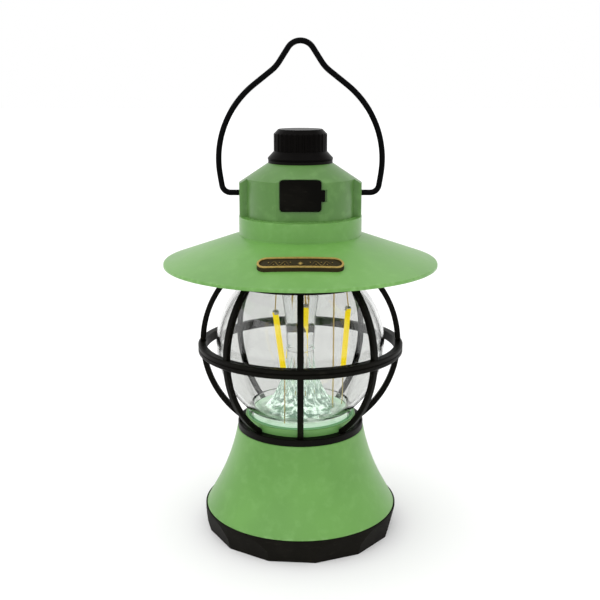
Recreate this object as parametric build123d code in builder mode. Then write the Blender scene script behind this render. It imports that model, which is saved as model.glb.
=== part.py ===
"""Rechargeable camping lantern in the style of an old railway oil lamp.

The lantern stands on a faceted foot, carries a clear globe inside an eight-rib cage, and wears a wide hat
with a dimmer knob on top and a wire bail to hang it by.  Millimetres, +Z up, front towards -Y, origin at the
centre of the foot's underside.
"""
from build123d import *
import math
import os

os.makedirs("parts", exist_ok=True)

# ---------------------------------------------------------------------------------------------------------
# Driving sizes
# ---------------------------------------------------------------------------------------------------------
fit_gap = 0.15  # between pieces that are nested and stay put
running_gap = 0.05  # radial, round a shaft or a hinge pin
moving_gap = 0.3  # between pieces that pass each other

# foot and base
foot_radius = 53.1
foot_height = 13.0
foot_facets = 13
foot_facet_turn = -5.0
foot_facet_inset = 3.1  # how far each flat cuts in at the floor
foot_facet_height = 12.0
foot_bore_radius = 44.0
base_bottom_radius = 52.3
base_knee_radius = 47.4
base_knee_height = 22.0
base_top_radius = 34.7
base_top = 57.5
base_wall = 2.4
deck_thickness = 2.4
bottom_cover_thickness = 3.0
bottom_cover_recess = 1.0

# battery
cell_radius = 9.2
cell_length = 65.0
holder_wall = 2.0

# cage
cage_radius = 54.3  # outside of the ribs
rib_count = 8
rib_width = 3.2
rib_thickness = 2.9
cage_ring_radius = 34.4
cage_ring_height = 3.7
cage_flange_thickness = 1.2
top_ring_radius = 40.8
top_ring_width = 3.8
top_ring_height = 4.2
waist_proud = 1.0  # the waist bands stand this far outside the ribs
waist_height = 5.0
waist_drop = 1.1  # the waist lies this far below the middle of the globe
waist_groove = 0.5

# globe and what holds it
cage_air_gap = 5.8  # from the ribs' inside to the globe
globe_wall = 2.2
globe_neck_radius = 28.4
tray_rim_height = 7.5
tray_floor_height = 3.0
tray_wall = 1.4
gasket_thickness = 1.5

# light
guide_sides = 12
guide_foot_radius = 21.5
guide_waist_radius = 7.3
guide_head_radius = 12.8
disc_thickness = 1.4
reflector_wall = 1.2
reflector_drop = 3.6  # the reflector's face hangs this far below the collar's web
filament_angles = (0, 97, 240)  # right, back and front left
filament_radius = 1.5
filament_length = 36.0
filament_top_radius = 25.8  # distance from the axis at the upper end
filament_bottom_radius = 24.0
filament_twist = 10.0
filament_rise = 19.5  # the upper ends stand this far above the middle of the globe
filament_lifts = (0.0, 0.0, 3.5)  # the front one hangs a little higher
lead_radius = 0.3
lead_head_radius = 23.5  # distance from the axis where the leads enter the reflector
supply_wire_radius = 0.4
supply_wire_circle = 18.0

# hat
collar_radius = 40.0
collar_wall = 4.0
collar_web_above_ring = 3.2
collar_skirt_drop = 5.0
shade_radius = 72.5
shade_slope = 19.4
shade_wall = 2.2
shade_rim_above_ring = 4.4
shade_rim_face = 1.5
neck_band_radius = 32.3
neck_band_wall = 2.4
ledge_above_rim = 25.5
ledge_fillet = 2.4
band_fillet = 3.5
plate_thickness = 2.4

# neck housing
neck_radius = 28.5
neck_wall = 2.2
neck_height = 27.5
crown_radius = 16.8
crown_slope = 33.6
ear_reach = 32.1
ear_width = 14.0
port_face = 25.7  # distance of the flat in front from the axis
port_pad_thickness = 4.0
crown_plate = 2.5

# port cover
cover_width = 20.6
cover_height = 15.6
cover_thickness = 2.1
cover_corner = 1.6
cover_middle_above_ledge = 13.3
cover_recess = 1.1
tab_width = 2.0
tab_height = 5.5

# control board and sockets
board_thickness = 1.6
board_above_ledge = 12.9
usb_a_width = 13.1
usb_a_height = 5.7
usb_a_depth = 14.0
usb_c_width = 8.9
usb_c_height = 3.2
usb_c_depth = 7.4
socket_wall = 0.35

# dimmer and knob
shaft_radius = 3.0
bushing_radius = 3.5
dimmer_radius = 8.4
dimmer_height = 7.6
seat_thickness = 1.5
knob_flange_radius = 17.0
knob_radius = 13.9
knob_height = 15.4
knob_flutes = 30
flute_radius = 0.8
flute_depth = 0.45
knob_wall = 1.9
knob_roof = 3.3
hub_radius = 6.0

# bail
bail_wire_radius = 1.5
bail_pivot_above_ledge = 11.9
bail_half_width = 42.5  # to the wire's centre, at the widest place
bail_bow_radius = 48.5
bail_bow_above_pivot = 16.9
bail_tuck_in = 9.0  # lean of the legs below the bow
bail_shoulder_lean = 52.0
bail_peak_lean = 33.0
bail_peak_above_pivot = 83.2  # where the two straight flanks would meet
bail_corner_radius = 4.5
bail_hollow_radius = 18.0
bail_peak_radius = 7.5
clip_thickness = 1.0
clip_radius = 3.2

# nameplate
nameplate_distance = 52.7  # from the axis to the middle of the badge
nameplate_width = 9.0
nameplate_length = 42.0
nameplate_bend_radius = 120.0
nameplate_thickness = 2.2
nameplate_rim = 1.0
nameplate_recess = 0.7
nameplate_pin_radius = 1.0
nameplate_pin_across = 14.0

# screws
screw_radius = 1.25
screw_head_radius = 2.4
screw_head_height = 1.8
screw_hole_radius = screw_radius + 0.15
pilot_radius = screw_radius + 0.02
boss_radius = 3.4
screw_circle = 21.0
cover_screw_circle = 36.0
hat_screw_circle = 33.3
hat_post_radius = 2.7
neck_screw_circle = 23.4
ring_screw_radius = 0.7
ring_screw_head = 1.35

# ---------------------------------------------------------------------------------------------------------
# Levels and places worked out from the driving sizes
# ---------------------------------------------------------------------------------------------------------
globe_radius = cage_radius - rib_thickness - cage_air_gap
rib_foot_radius = cage_ring_radius - rib_thickness / 2
cage_middle = base_top + math.sqrt(cage_radius**2 - rib_foot_radius**2) + cage_ring_height
top_ring_level = cage_middle + math.sqrt(cage_radius**2 - (top_ring_radius + 0.2) ** 2)
collar_level = top_ring_level + top_ring_height
web_underside = collar_level + collar_web_above_ring
web_top = web_underside + plate_thickness
rim_level = collar_level + shade_rim_above_ring
ledge_level = rim_level + ledge_above_rim
crown_level = ledge_level + neck_height

tray_socket_radius = globe_neck_radius + 2 * fit_gap
tray_radius = tray_socket_radius + tray_wall
plateau_radius = globe_neck_radius - globe_wall - 2 * fit_gap
tray_floor = base_top + tray_floor_height
tray_rim = base_top + tray_rim_height
globe_foot = tray_floor + gasket_thickness
globe_head = web_underside - gasket_thickness
disc_top = tray_rim + disc_thickness
reflector_face = web_underside - reflector_drop

deck_level = base_top - deck_thickness
cover_top = bottom_cover_recess + bottom_cover_thickness
cover_seat = cover_top - 1.2
base_bottom = foot_height + fit_gap
crown_drop = math.tan(math.radians(crown_slope))
cell_axis_height = cover_top + holder_wall + fit_gap + cell_radius
board_level = ledge_level + board_above_ledge
pivot_level = ledge_level + bail_pivot_above_ledge


def polar_point(radius, angle):
    """A point on a circle about the lantern's axis, with 0 at +X and the front at -90."""
    return (radius * math.cos(math.radians(angle)), radius * math.sin(math.radians(angle)))


def shade_surface(radius):
    """Height of the hat's upper surface at a distance from the axis."""
    rim_top = rim_level + shade_rim_face
    return rim_top + (shade_radius - radius) * math.tan(math.radians(shade_slope))


def shade_underside(radius):
    """Height of the hat's lower surface at a distance from the axis."""
    return shade_surface(radius) - shade_wall / math.cos(math.radians(shade_slope))


def crown_surface(radius):
    """Height of the neck's sloping crown at a distance from the axis."""
    return crown_level - (radius - crown_radius) * crown_drop


def revolved(points):
    """A solid turned about the lantern's axis from an outline of (radius, height) points."""
    with BuildPart() as turned:
        with BuildSketch(Plane.XZ):
            with BuildLine():
                Polyline(*points, close=True)
            make_face()
        revolve(axis=Axis.Z)
    return turned


def rod(start, end, radius):
    """A straight round rod between two points."""
    direction = Vector(*end) - Vector(*start)
    with BuildPart() as straight:
        with BuildSketch(Plane(origin=start, z_dir=direction)):
            Circle(radius)
        extrude(amount=direction.length)
    return straight


def pillars(points, radius, start, end):
    """Upright round pillars between two heights: posts, screw shanks, or the bores cut for them."""
    with BuildPart() as group:
        with BuildSketch(Plane.XY.offset(start)):
            with Locations(*points):
                Circle(radius)
        extrude(amount=end - start)
    return group


def screws(points, seat, length):
    """Round-headed screws under a seat at height seat; a negative length points them down."""
    side = math.copysign(1, length)
    head_face = seat - side * screw_head_height
    with BuildPart() as group:
        add(pillars(points, screw_radius, seat, seat + length).part)
        add(pillars(points, screw_head_radius, seat, head_face).part)
        with BuildSketch(Plane.XY.offset(head_face)):
            with Locations(*points):
                RegularPolygon(screw_radius, 6)
        extrude(amount=side * screw_head_height / 2, mode=Mode.SUBTRACT)
    return group


supply_wire_points = [polar_point(supply_wire_circle, angle) for angle in (0, 90)]
tray_screw_points = [polar_point(screw_circle, angle) for angle in (30, 150, 270)]
hat_screw_points = [polar_point(hat_screw_circle, angle) for angle in (0, 90, 180, 270)]
ring_screw_points = [
    polar_point(top_ring_radius - top_ring_width / 2 - 0.3, angle) for angle in (22.5, 112.5, 202.5, 292.5)
]
neck_screw_points = [polar_point(neck_screw_circle, angle) for angle in (90, 210, 330)]
cover_screw_points = [polar_point(cover_screw_circle, angle) for angle in (60, 120, 240, 300)]
pin_points = [(side * nameplate_pin_across, -nameplate_distance + 0.8) for side in (-1, 1)]
wire_hole_radius = supply_wire_radius + fit_gap

# ---------------------------------------------------------------------------------------------------------
# Foot and base
# ---------------------------------------------------------------------------------------------------------
tongue_height = 4.5
tongue_lean = (base_bottom_radius - base_knee_radius) / (base_knee_height - base_bottom)
tongue_outside = base_bottom_radius - base_wall - 2 * fit_gap
tongue_inside = foot_bore_radius + 1.0
shoulder_radius = foot_bore_radius - 1.4
shoulder_top = cover_top + 2.0

# Wedge that takes one flat off the round foot, from the floor up to the arch under its top edge.
with BuildPart() as facet_cutter:
    facet_slope = foot_facet_inset / foot_facet_height
    with BuildSketch(Plane.XZ):
        with BuildLine():
            Polyline(
                (foot_radius - foot_facet_inset - facet_slope, -1),
                (foot_radius + 5, -1),
                (foot_radius + 5, foot_facet_height),
                (foot_radius, foot_facet_height),
                close=True,
            )
        make_face()
    extrude(amount=foot_radius * math.tan(math.pi / foot_facets) + 2, both=True)

with BuildPart() as foot_ring:
    with BuildSketch(Plane.XZ):
        with BuildLine():
            Polyline(
                (foot_bore_radius, 0),
                (foot_radius, 0),
                (foot_radius, foot_height),
                (tongue_outside, foot_height),
                (tongue_outside - tongue_height * tongue_lean, foot_height + tongue_height),
                (tongue_inside, foot_height + tongue_height),
                (tongue_inside, shoulder_top),
                (shoulder_radius, shoulder_top),
                (shoulder_radius, cover_top),
                (foot_bore_radius, cover_top),
                close=True,
            )
        make_face()
    revolve(axis=Axis.Z)
    with PolarLocations(0, foot_facets, start_angle=-90 + foot_facet_turn):
        add(facet_cutter.part, mode=Mode.SUBTRACT)

with BuildPart() as bottom_cover:
    with BuildSketch(Plane.XY.offset(bottom_cover_recess)):
        Circle(foot_bore_radius - fit_gap)
    extrude(amount=bottom_cover_thickness)
    chamfer(bottom_cover.edges().group_by(Axis.Z)[0], 0.6)
    add(pillars(cover_screw_points, screw_head_radius + fit_gap, 0, cover_seat).part, mode=Mode.SUBTRACT)
    add(pillars(cover_screw_points, screw_hole_radius, 0, cover_top).part, mode=Mode.SUBTRACT)

cover_screws = screws(cover_screw_points, cover_seat, 11.0)

# Round the outside of the base and the posts that the bottom cover is screwed to.
with BuildPart() as base_envelope:
    with BuildSketch(Plane.XZ):
        with BuildLine():
            Line((0, cover_top), (tongue_inside - 1, cover_top))
            Line((tongue_inside - 1, cover_top), (base_bottom_radius, base_bottom))
            Line((base_bottom_radius, base_bottom), (base_knee_radius, base_knee_height))
            TangentArc(
                (base_knee_radius, base_knee_height),
                (base_top_radius, base_top),
                tangent=(base_knee_radius - base_bottom_radius, base_knee_height - base_bottom),
            )
            Line((base_top_radius, base_top), (0, base_top))
            Line((0, base_top), (0, cover_top))
        make_face()
    revolve(axis=Axis.Z)

post_height = 32.0
with BuildPart() as base_housing:
    add(pillars(cover_screw_points, boss_radius, cover_top, cover_top + post_height).part)
    add(base_envelope.part, mode=Mode.INTERSECT)
    add(pillars(cover_screw_points, pilot_radius, cover_top, cover_top + 14).part, mode=Mode.SUBTRACT)
    with BuildSketch(Plane.XZ):
        with BuildLine():
            Line((base_bottom_radius, base_bottom), (base_knee_radius, base_knee_height))
            TangentArc(
                (base_knee_radius, base_knee_height),
                (base_top_radius, base_top),
                tangent=(base_knee_radius - base_bottom_radius, base_knee_height - base_bottom),
            )
            Line((base_top_radius, base_top), (supply_wire_circle - 6, base_top))
            Line((supply_wire_circle - 6, base_top), (supply_wire_circle - 6, deck_level))
            Line((supply_wire_circle - 6, deck_level), (base_top_radius - base_wall, deck_level))
            TangentArc(
                (base_knee_radius - base_wall, base_knee_height),
                (base_top_radius - base_wall, deck_level),
                tangent=(base_knee_radius - base_bottom_radius, base_knee_height - base_bottom),
            )
            Line(
                (base_knee_radius - base_wall, base_knee_height),
                (base_bottom_radius - base_wall, base_bottom),
            )
            Line((base_bottom_radius - base_wall, base_bottom), (base_bottom_radius, base_bottom))
        make_face()
    revolve(axis=Axis.Z)
    add(pillars(tray_screw_points, screw_hole_radius, deck_level, base_top).part, mode=Mode.SUBTRACT)
    add(pillars(supply_wire_points, wire_hole_radius, deck_level, base_top).part, mode=Mode.SUBTRACT)
    fillet(base_housing.edges().filter_by(GeomType.CIRCLE).group_by(Axis.Z)[-1].sort_by(SortBy.RADIUS)[-1], 0.8)

# ---------------------------------------------------------------------------------------------------------
# Battery
# ---------------------------------------------------------------------------------------------------------
cell_offset = cell_radius + fit_gap
contact_gap = 1.5
holder_inside_length = cell_length + 2 * contact_gap
holder_inside_width = 4 * cell_radius + 6 * fit_gap
holder_length = holder_inside_length + 2 * holder_wall
holder_width = holder_inside_width + 2 * (holder_wall - 0.5)
cell_rows = [(cell_offset, cell_axis_height), (-cell_offset, cell_axis_height)]

with BuildPart() as battery_cells:
    with BuildSketch(Plane.YZ.offset(-cell_length / 2)):
        with Locations(*cell_rows):
            Circle(cell_radius)
    extrude(amount=cell_length - 1)
    fillet(battery_cells.edges().filter_by(GeomType.CIRCLE), 0.6)
    with BuildSketch(Plane.YZ.offset(cell_length / 2 - 1)):
        with Locations(*cell_rows):
            Circle(3)
    extrude(amount=1)

with BuildPart() as battery_holder:
    with BuildSketch(Plane.XY.offset(cover_top)):
        RectangleRounded(holder_length, holder_width, 1.5)
    extrude(amount=holder_wall)
    with BuildSketch(Plane.XY.offset(cover_top)):
        RectangleRounded(holder_length, holder_width, 1.5)
        Rectangle(holder_inside_length, holder_inside_width, mode=Mode.SUBTRACT)
        Rectangle(holder_length, holder_width - 12, mode=Mode.SUBTRACT)
    extrude(amount=holder_wall + 6)
    with BuildSketch(Plane.XY.offset(cover_top)):
        with Locations(
            (holder_inside_length / 2 + holder_wall / 2, 0), (-holder_inside_length / 2 - holder_wall / 2, 0)
        ):
            Rectangle(holder_wall, holder_width - 4)
    extrude(amount=holder_wall + 14)

with BuildPart() as battery_contacts:
    for side in (-1, 1):
        with BuildSketch(Plane.YZ.offset(side * holder_inside_length / 2)):
            with Locations(*cell_rows):
                RectangleRounded(9, 9, 1)
        extrude(amount=-side * 0.5)
        with BuildSketch(Plane.YZ.offset(side * (holder_inside_length / 2 - 0.5))):
            with Locations(*cell_rows):
                Circle(2.6)
        extrude(amount=-side * (contact_gap - 0.5))

with BuildPart() as protection_board:
    with BuildSketch(Plane.XY.offset(cell_axis_height + cell_radius)):
        RectangleRounded(44, 38, 2)
    extrude(amount=1.2)
protection_board_top = cell_axis_height + cell_radius + 1.2

# ---------------------------------------------------------------------------------------------------------
# Tray under the globe
# ---------------------------------------------------------------------------------------------------------
flange_inside = plateau_radius - fit_gap
tray_outline = [
    (6, base_top),
    (flange_inside - fit_gap, base_top),
    (flange_inside - fit_gap, base_top + cage_flange_thickness),
    (tray_radius, base_top + cage_flange_thickness),
    (tray_radius, tray_rim),
    (tray_socket_radius, tray_rim),
    (tray_socket_radius, tray_floor),
    (plateau_radius, tray_floor),
    (plateau_radius, tray_rim),
    (plateau_radius - tray_wall, tray_rim),
    (plateau_radius - tray_wall, tray_floor),
    (6, tray_floor),
]

with BuildPart() as globe_tray:
    add(revolved(tray_outline).part)
    add(pillars(tray_screw_points, pilot_radius, base_top, tray_floor - 0.4).part, mode=Mode.SUBTRACT)
    add(pillars(supply_wire_points, wire_hole_radius, base_top, tray_floor).part, mode=Mode.SUBTRACT)
    rim_edges = globe_tray.edges().filter_by(GeomType.CIRCLE).group_by(Axis.Z)[-1].sort_by(SortBy.RADIUS)
    fillet(rim_edges[-1], 0.5)

tray_screws = screws(tray_screw_points, deck_level, deck_thickness + tray_floor_height - 0.6)

board_radius = plateau_radius - tray_wall - fit_gap
with BuildPart() as glow_board:
    with BuildSketch(Plane.XY.offset(tray_floor)):
        Circle(board_radius)
        with Locations(*supply_wire_points):
            Circle(wire_hole_radius, mode=Mode.SUBTRACT)
    extrude(amount=1.2)

with BuildPart() as glow_leds:
    with BuildSketch(Plane.XY.offset(tray_floor + 1.2)):
        with PolarLocations(13, 6, start_angle=15):
            Rectangle(3.5, 2.8)
    extrude(amount=0.8)

with BuildPart() as diffuser_disc:
    with BuildSketch(Plane.XY.offset(tray_rim)):
        Circle(plateau_radius)
        with Locations(*supply_wire_points):
            Circle(wire_hole_radius, mode=Mode.SUBTRACT)
    extrude(amount=disc_thickness)

reflector_radius = plateau_radius - fit_gap
with BuildPart() as reflector_cup:
    add(
        revolved([
            (0, reflector_face),
            (reflector_radius, reflector_face),
            (reflector_radius, web_top),
            (reflector_radius + 3.5, web_top),
            (reflector_radius + 3.5, web_top + reflector_wall),
            (reflector_radius - reflector_wall, web_top + reflector_wall),
            (reflector_radius - reflector_wall, reflector_face + disc_thickness),
            (0, reflector_face + disc_thickness),
        ]).part
    )
    add(pillars(supply_wire_points, wire_hole_radius, reflector_face, web_top).part, mode=Mode.SUBTRACT)

# ---------------------------------------------------------------------------------------------------------
# Globe and its gaskets
# ---------------------------------------------------------------------------------------------------------
with BuildPart() as globe:
    with Locations((0, 0, cage_middle)):
        Sphere(globe_radius)
    split(bisect_by=Plane.XY.offset(globe_foot), keep=Keep.TOP)
    split(bisect_by=Plane.XY.offset(globe_head), keep=Keep.BOTTOM)
    add(pillars([(0, 0)], globe_neck_radius, globe_foot, globe_head).part)
    with Locations((0, 0, cage_middle)):
        Sphere(globe_radius - globe_wall, mode=Mode.SUBTRACT)
    add(pillars([(0, 0)], globe_neck_radius - globe_wall, globe_foot, globe_head).part, mode=Mode.SUBTRACT)


def gasket(level):
    """A flat ring the width of the globe's wall, lying at a height."""
    with BuildPart() as washer:
        with BuildSketch(Plane.XY.offset(level)):
            Circle(globe_neck_radius)
            Circle(globe_neck_radius - globe_wall, mode=Mode.SUBTRACT)
        extrude(amount=gasket_thickness)
    return washer


globe_gasket_lower = gasket(tray_floor)
globe_gasket_upper = gasket(globe_head)

# ---------------------------------------------------------------------------------------------------------
# Cage: two end rings, two groups of ribs and two waist bands
# ---------------------------------------------------------------------------------------------------------
ring_inside = tray_radius + fit_gap
ring_top = base_top + cage_ring_height

cage_base_ring = revolved([
    (flange_inside, base_top),
    (cage_ring_radius, base_top),
    (cage_ring_radius, ring_top - 0.5),
    (cage_ring_radius - 0.5, ring_top),
    (ring_inside, ring_top),
    (ring_inside, base_top + cage_flange_thickness),
    (flange_inside, base_top + cage_flange_thickness),
])

ring_screw_seat = top_ring_level + 1.5
with BuildPart() as cage_top_ring:
    add(
        revolved([
            (top_ring_radius - top_ring_width, top_ring_level),
            (top_ring_radius - 0.4, top_ring_level),
            (top_ring_radius, top_ring_level + 0.4),
            (top_ring_radius, collar_level),
            (top_ring_radius - top_ring_width, collar_level),
        ]).part
    )
    add(pillars(ring_screw_points, ring_screw_head + 0.1, top_ring_level, ring_screw_seat).part, mode=Mode.SUBTRACT)
    add(pillars(ring_screw_points, ring_screw_radius + 0.1, top_ring_level, collar_level).part, mode=Mode.SUBTRACT)

ring_screw_tip = collar_level + 5.0
with BuildPart() as ring_screws:
    add(pillars(ring_screw_points, ring_screw_head, top_ring_level + 0.2, ring_screw_seat).part)
    add(pillars(ring_screw_points, ring_screw_radius, ring_screw_seat, ring_screw_tip).part)

waist_level = cage_middle - waist_drop
band_bottom = waist_level - waist_height / 2
band_top = waist_level + waist_height / 2
band_outside = cage_radius + waist_proud
band_inside = cage_radius - rib_thickness - 0.2
peg_radius = 0.8
peg_circle = (band_outside + band_inside) / 2
peg_points = [polar_point(peg_circle, 22.5 + 45 * index) for index in range(8)]

with BuildPart() as waist_band_lower:
    add(
        revolved([
            (band_inside, band_bottom),
            (band_outside - 0.6, band_bottom),
            (band_outside, band_bottom + 0.6),
            (band_outside, waist_level - waist_groove),
            (band_outside - waist_groove, waist_level),
            (band_inside, waist_level),
        ]).part
    )
    add(pillars(peg_points, peg_radius + 0.05, waist_level - 1.8, waist_level).part, mode=Mode.SUBTRACT)

with BuildPart() as waist_band_upper:
    add(
        revolved([
            (band_inside, waist_level),
            (band_outside - waist_groove, waist_level),
            (band_outside, waist_level + waist_groove),
            (band_outside, band_top - 0.6),
            (band_outside - 0.6, band_top),
            (band_inside, band_top),
        ]).part
    )
    add(pillars(peg_points, peg_radius, waist_level - 1.6, waist_level).part)

# One rib: the wall of a hollow ball, cut to a strip between two heights.
with BuildPart() as rib_shell:
    with Locations((0, 0, cage_middle)):
        Sphere(cage_radius)
        Sphere(cage_radius - rib_thickness, mode=Mode.SUBTRACT)


def ribs(low, high):
    """All the ribs between two heights, spaced evenly with one at the front."""
    inner_edge = ring_inside + 0.1
    with BuildPart() as one_rib:
        with BuildSketch(Plane.XY.offset(low)):
            with Locations(((inner_edge + band_outside) / 2, 0)):
                Rectangle(band_outside - inner_edge, rib_width)
        extrude(amount=high - low)
        add(rib_shell.part, mode=Mode.INTERSECT)
        fillet(one_rib.edges().filter_by(lambda edge: edge.length > high - low), 0.5)
    with BuildPart() as group:
        with PolarLocations(0, rib_count):
            add(one_rib.part)
    return group


cage_lower_ribs = ribs(ring_top, band_bottom)
cage_upper_ribs = ribs(band_top, top_ring_level)

# ---------------------------------------------------------------------------------------------------------
# Light guide, filaments, leads and the wires that join the battery to the control board
# ---------------------------------------------------------------------------------------------------------
guide_height = reflector_face - disc_top
guide_sections = [
    (0.0, guide_foot_radius),
    (0.07, guide_foot_radius * 0.8),
    (0.19, guide_foot_radius * 0.55),
    (0.31, guide_waist_radius * 1.17),
    (0.41, guide_waist_radius),
    (0.57, guide_waist_radius * 1.15),
    (0.77, guide_head_radius * 0.68),
    (1.0, guide_head_radius),
]
with BuildPart() as light_guide:
    for share, radius in guide_sections:
        with BuildSketch(Plane.XY.offset(disc_top + share * guide_height)):
            RegularPolygon(radius, guide_sides)
    loft(ruled=True)
    add(pillars(supply_wire_points, wire_hole_radius, disc_top, reflector_face).part, mode=Mode.SUBTRACT)

filament_levels = [cage_middle + filament_rise + lift for lift in filament_lifts]
filament_tops = []
filament_bottoms = []
for angle, level in zip(filament_angles, filament_levels):
    filament_tops.append((*polar_point(filament_top_radius, angle), level))
    filament_bottoms.append(
        (*polar_point(filament_bottom_radius, angle + filament_twist), level - filament_length)
    )

with BuildPart() as filaments:
    for bottom, top in zip(filament_bottoms, filament_tops):
        add(rod(bottom, top, filament_radius).part)
    fillet(filaments.edges().filter_by(GeomType.CIRCLE), 0.8)

with BuildPart() as filament_leads:
    for angle, bottom, top in zip(filament_angles, filament_bottoms, filament_tops):
        lead_head = (*polar_point(lead_head_radius, angle), reflector_face)
        lead_foot = (bottom[0], bottom[1], disc_top)
        add(rod(top, lead_head, lead_radius).part)
        add(rod(lead_foot, bottom, lead_radius).part)
    add(filaments.part, mode=Mode.SUBTRACT)
    add(diffuser_disc.part, mode=Mode.SUBTRACT)
    add(reflector_cup.part, mode=Mode.SUBTRACT)

with BuildPart() as supply_wires:
    with BuildSketch(Plane.XY.offset(protection_board_top)):
        with Locations(*supply_wire_points):
            Circle(supply_wire_radius)
    extrude(amount=board_level - protection_board_top)

# ---------------------------------------------------------------------------------------------------------
# Hat: the collar that sits on the cage, and the wide shade
# ---------------------------------------------------------------------------------------------------------
collar_inside = collar_radius - collar_wall
skirt_inside = globe_neck_radius + 2 * fit_gap
skirt_wall = 1.8

with BuildPart() as hat_collar:
    add(
        revolved([
            (collar_radius, collar_level),
            (collar_radius, shade_underside(collar_radius)),
            (collar_inside, shade_underside(collar_inside)),
            (collar_inside, web_top),
            (reflector_radius + fit_gap, web_top),
            (reflector_radius + fit_gap, web_underside),
            (skirt_inside, web_underside),
            (skirt_inside, web_underside - collar_skirt_drop),
            (skirt_inside + skirt_wall, web_underside - collar_skirt_drop),
            (skirt_inside + skirt_wall, web_underside),
            (collar_inside, web_underside),
            (collar_inside, collar_level),
        ]).part
    )
    add(pillars(hat_screw_points, screw_hole_radius, web_underside, web_top).part, mode=Mode.SUBTRACT)
    add(pillars(ring_screw_points, ring_screw_radius + 0.02, collar_level, ring_screw_tip).part, mode=Mode.SUBTRACT)

band_inside_radius = neck_band_radius - neck_band_wall
top_plate_underside = ledge_level - plate_thickness
shade_drop = math.tan(math.radians(shade_slope))
rim_inside = shade_radius - (rim_level - shade_underside(shade_radius)) / shade_drop
top_plate_bore = supply_wire_circle - 6

# Everything under the middle of the shade's wall, to end the screw posts against the slope.
shade_envelope = revolved([
    (0, web_top),
    (collar_radius, web_top),
    (collar_radius, shade_underside(collar_radius) + 1),
    (neck_band_radius - 1, shade_underside(neck_band_radius - 1) + 1),
    (0, shade_underside(neck_band_radius - 1) + 1),
])

with BuildPart() as shade:
    add(pillars(hat_screw_points, hat_post_radius, web_top, ledge_level).part)
    add(shade_envelope.part, mode=Mode.INTERSECT)
    add(pillars(hat_screw_points, pilot_radius, web_top, web_top + 9).part, mode=Mode.SUBTRACT)
    with BuildSketch(Plane.XZ) as shade_section:
        with BuildLine():
            Polyline(
                (shade_radius, rim_level),
                (shade_radius, shade_surface(shade_radius)),
                (neck_band_radius, shade_surface(neck_band_radius)),
                (neck_band_radius, ledge_level),
                (top_plate_bore, ledge_level),
                (top_plate_bore, top_plate_underside),
                (band_inside_radius, top_plate_underside),
                (band_inside_radius, shade_underside(band_inside_radius)),
                (rim_inside, rim_level),
                close=True,
            )
        make_face()
        corners = shade_section.vertices()
        fillet(corners.sort_by_distance((shade_radius, shade_surface(shade_radius)))[0], 0.9)
        fillet(corners.sort_by_distance((neck_band_radius, shade_surface(neck_band_radius)))[0], band_fillet)
        fillet(corners.sort_by_distance((neck_band_radius, ledge_level))[0], ledge_fillet)
    revolve(axis=Axis.Z)
    add(pillars(neck_screw_points, screw_hole_radius, top_plate_underside, ledge_level).part, mode=Mode.SUBTRACT)
    add(pillars(supply_wire_points, wire_hole_radius, top_plate_underside, ledge_level).part, mode=Mode.SUBTRACT)
    add(pillars(pin_points, nameplate_pin_radius + running_gap, rim_level, ledge_level).part, mode=Mode.SUBTRACT)

hat_screws = screws(hat_screw_points, web_underside, plate_thickness + 7.5)

# ---------------------------------------------------------------------------------------------------------
# Nameplate: an arched badge that follows the hat, with a raised rim and a blank field
# ---------------------------------------------------------------------------------------------------------
def conical_slab(inside, outside, low, high):
    """A band lying on the hat between two radii, from low to high above its surface."""
    lean = math.radians(shade_slope)
    corners = []
    for radius, lift in ((inside, low), (outside, low), (outside, high), (inside, high)):
        corners.append((radius + lift * math.sin(lean), shade_surface(radius) + lift * math.cos(lean)))
    return revolved(corners)


def badge(low, high, width):
    """A curved slot with round ends lying on the front of the hat, from low to high above its surface."""
    middles_apart = math.degrees((nameplate_length - nameplate_width) / nameplate_bend_radius)
    with BuildPart() as slot:
        with BuildSketch(Plane.XY.offset(rim_level)):
            with Locations((0, nameplate_bend_radius - nameplate_distance)):
                with BuildLine(mode=Mode.PRIVATE) as middle_arc:
                    CenterArc((0, 0), nameplate_bend_radius, -90 - middles_apart / 2, middles_apart)
                SlotArc(middle_arc.wire(), width)
        extrude(amount=ledge_above_rim)
        add(
            conical_slab(
                nameplate_distance - nameplate_width, nameplate_distance + nameplate_width, low, high
            ).part,
            mode=Mode.INTERSECT,
        )
    return slot


badge_field = badge(nameplate_thickness - nameplate_recess, nameplate_thickness + 1, nameplate_width - 2 * nameplate_rim)
with BuildPart() as nameplate:
    add(badge(0, nameplate_thickness, nameplate_width).part)
    add(badge_field.part, mode=Mode.SUBTRACT)

pin_foot = shade_underside(nameplate_distance + 4) - 0.8
with BuildPart() as nameplate_pins:
    add(pillars(pin_points, nameplate_pin_radius, pin_foot, shade_surface(nameplate_distance) + 0.5).part)
    add(pillars(pin_points, 2 * nameplate_pin_radius, pin_foot, pin_foot + 0.9).part)
    add(nameplate.part, mode=Mode.SUBTRACT)

# ---------------------------------------------------------------------------------------------------------
# Neck housing
# ---------------------------------------------------------------------------------------------------------
inner_crown_drop = neck_wall / math.cos(math.radians(crown_slope))
crown_underside = crown_level - crown_plate
cavity_radius = neck_radius - neck_wall
cavity_top_radius = crown_radius - (crown_underside - (crown_level - inner_crown_drop)) / crown_drop
cover_middle = ledge_level + cover_middle_above_ledge
usb_a_middle = board_level - usb_a_height / 2
usb_c_middle = board_level + board_thickness + usb_c_height / 2
recess_floor = -port_face + cover_recess
pad_inside = -port_face + port_pad_thickness
hinge_radius = cover_thickness / 2
cover_back = recess_floor - moving_gap
hinge_x = -cover_width / 2 + hinge_radius
hinge_y = cover_back - hinge_radius

neck_envelope = revolved([
    (0, ledge_level),
    (ear_reach, ledge_level),
    (ear_reach, crown_surface(ear_reach)),
    (crown_radius, crown_level),
    (0, crown_level),
])

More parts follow.
